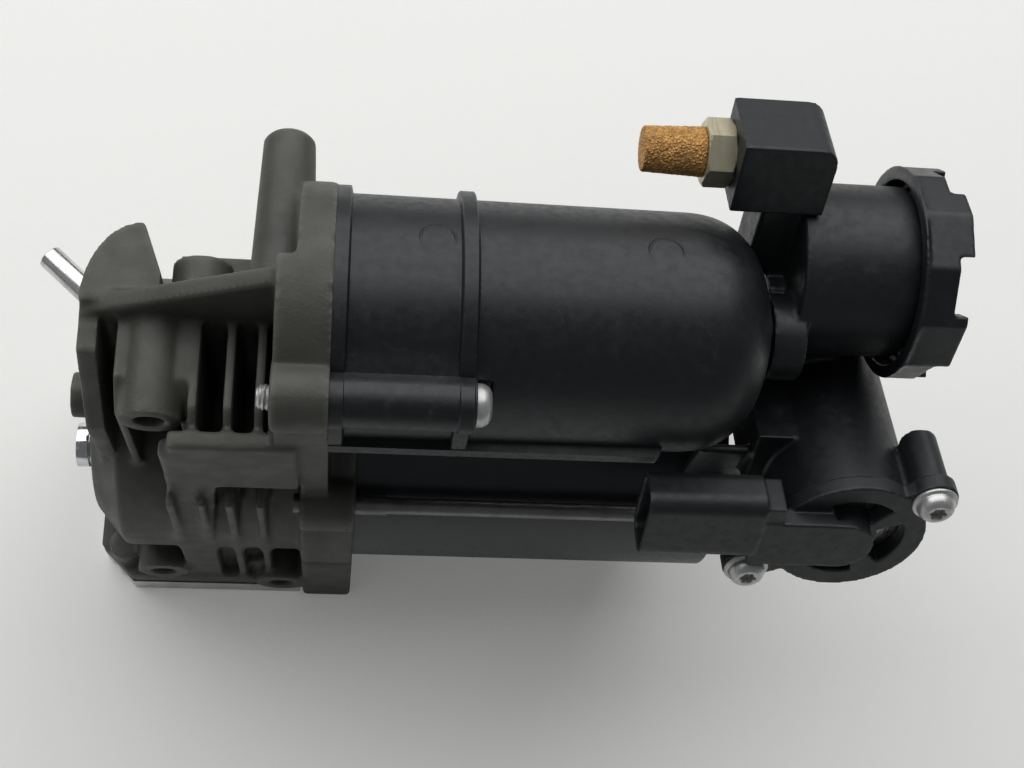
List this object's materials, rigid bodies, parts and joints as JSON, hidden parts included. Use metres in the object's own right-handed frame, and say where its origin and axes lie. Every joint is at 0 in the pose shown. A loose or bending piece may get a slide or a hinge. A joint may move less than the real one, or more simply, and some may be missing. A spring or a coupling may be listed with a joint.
{
  "type": "air suspension compressor",
  "caption": "Piston air compressor for air suspension: die-cast crankcase with cooling fins, electric motor, air dryer canister and solenoid vent valve with silencer.",
  "frame": {"origin": "foot of the motor flange, under the joint plane of dryer and casting, on the plane of the two axes", "axes": "+X along the motor and dryer away from the crankcase, +Z from the cylinder head towards the dryer, mounting faces towards -Y"},
  "size_m": [0.2193, 0.1012, 0.1652],
  "materials": {
    "cast": "matte die cast, dark grey-brown",
    "machined": "machined",
    "steel": "turned",
    "chrome": "bright",
    "can": "satin black",
    "black_steel": "black zinc",
    "magnet": "sintered",
    "core": "stacked sheet",
    "copper": "enamelled copper wire",
    "carbon": "carbon",
    "brown_plastic": "phenolic",
    "black_plastic": "moulded, matte",
    "rubber": "moulded",
    "gasket": "fibre sheet",
    "bed": "beads",
    "felt": "pressed felt",
    "foam": "open foam",
    "brass": "plated",
    "bronze": "sintered bronze"
  },
  "bodies": {
    "compressor": {"crankcase_casting": "cast", "cylinder_liner": "steel", "head_gasket": "gasket", "cylinder_head": "machined", "reed_valves": "steel", "head_screws": "steel", "crankcase_cover": "cast", "pressure_union": "chrome", "outlet_tube": "machined", "main_bearing": "steel", "motor_can": "can", "field_magnets": "magnet", "motor_end_cap": "can", "rear_bearing": "steel", "brush_holder": "brown_plastic", "carbon_brushes": "carbon", "brush_springs": "steel", "tie_rods": "black_steel", "dryer_canister": "black_plastic", "dryer_seal": "rubber", "desiccant": "bed", "filter_pads": "felt", "dryer_spring": "steel", "dryer_screws": "steel", "valve_body": "black_plastic", "solenoid_coil": "copper", "coil_core": "steel", "plunger_spring": "steel", "valve_seat": "brass", "connector_cap": "black_plastic", "connector_pins": "brass", "cap_screws": "steel", "filter_cup_cap": "black_plastic", "filter_foam": "foam", "silencer_block": "black_plastic", "silencer_hex": "brass", "silencer_element": "bronze"},
    "armature": {"motor_shaft": "steel", "crank": "steel", "armature_core": "core", "armature_windings": "copper", "commutator": "copper"},
    "rod": {"connecting_rod": "machined", "rod_bearing": "steel", "wrist_pin": "steel"},
    "piston": {"piston": "machined", "piston_seal": "rubber"},
    "plunger": {"plunger": "steel"}
  },
  "joints": [
    {"name": "crank_spin", "type": "hinge", "parent": "compressor", "child": "armature", "pos_m": [0, 0, 0.052], "axis": [1, 0, 0], "continuous": true},
    {"name": "rod_swing", "type": "hinge", "parent": "armature", "child": "rod", "pos_m": [-0.03, 0, 0.048], "axis": [1, 0, 0], "continuous": true},
    {"name": "piston_slide", "type": "slide", "parent": "compressor", "child": "piston", "axis": [0, 0, 1], "range_m": [0, 0.008]},
    {"name": "plunger_slide", "type": "slide", "parent": "compressor", "child": "plunger", "axis": [0, -0.9205, 0.3907], "range_m": [0, 0.0015], "stiffness_N_per_m": 200, "springref_m": -0.001}
  ],
  "couplings": [
    {"joint": "rod_swing", "follows": "crank_spin", "ratio": -1}
  ]
}
